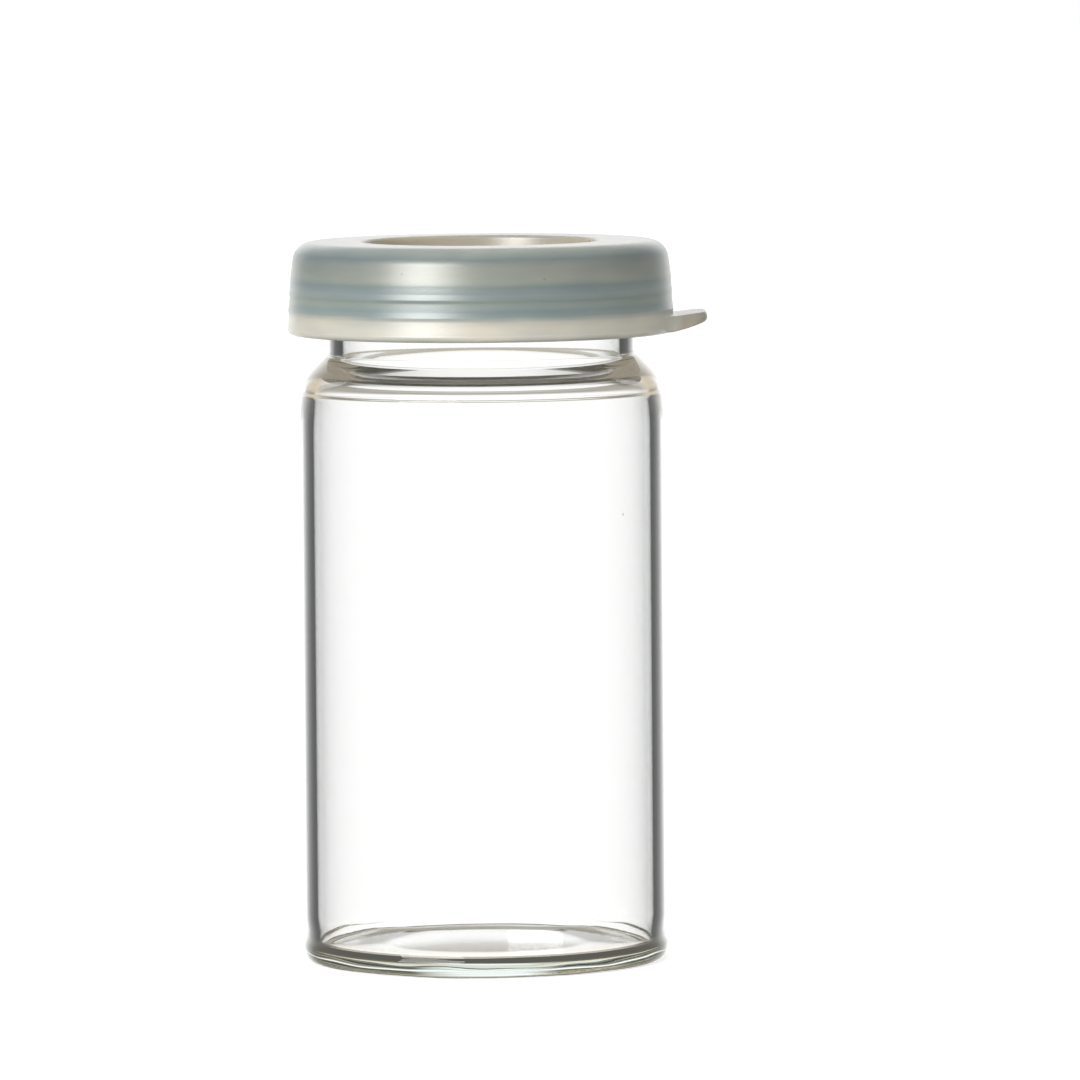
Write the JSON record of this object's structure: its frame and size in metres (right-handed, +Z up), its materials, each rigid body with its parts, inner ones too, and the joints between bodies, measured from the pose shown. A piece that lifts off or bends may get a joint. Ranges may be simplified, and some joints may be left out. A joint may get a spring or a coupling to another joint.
{
  "type": "glass sample vial with snap cap",
  "caption": "Clear glass sample vial with a flat base, a shoulder and a short neck, closed by a milky snap cap with a lift tab.",
  "frame": {"origin": "on the vial's axis, in the plane that its foot ring stands on", "axes": "+Z up along the vial's axis towards the cap, +X towards the cap's lift tab"},
  "size_m": [0.0299, 0.0276, 0.0514],
  "materials": {
    "clear_glass": "clear, fire-polished glass",
    "milky_plastic": "milky, translucent, slightly glossy polyethylene"
  },
  "bodies": {
    "vial": {"glass_vial": "clear_glass"},
    "cap": {"snap_cap": "milky_plastic"}
  },
  "joints": [
    {"name": "cap_lift", "type": "slide", "parent": "vial", "child": "cap", "axis": [0, 0, 1], "range_m": [0, 0.015]}
  ]
}
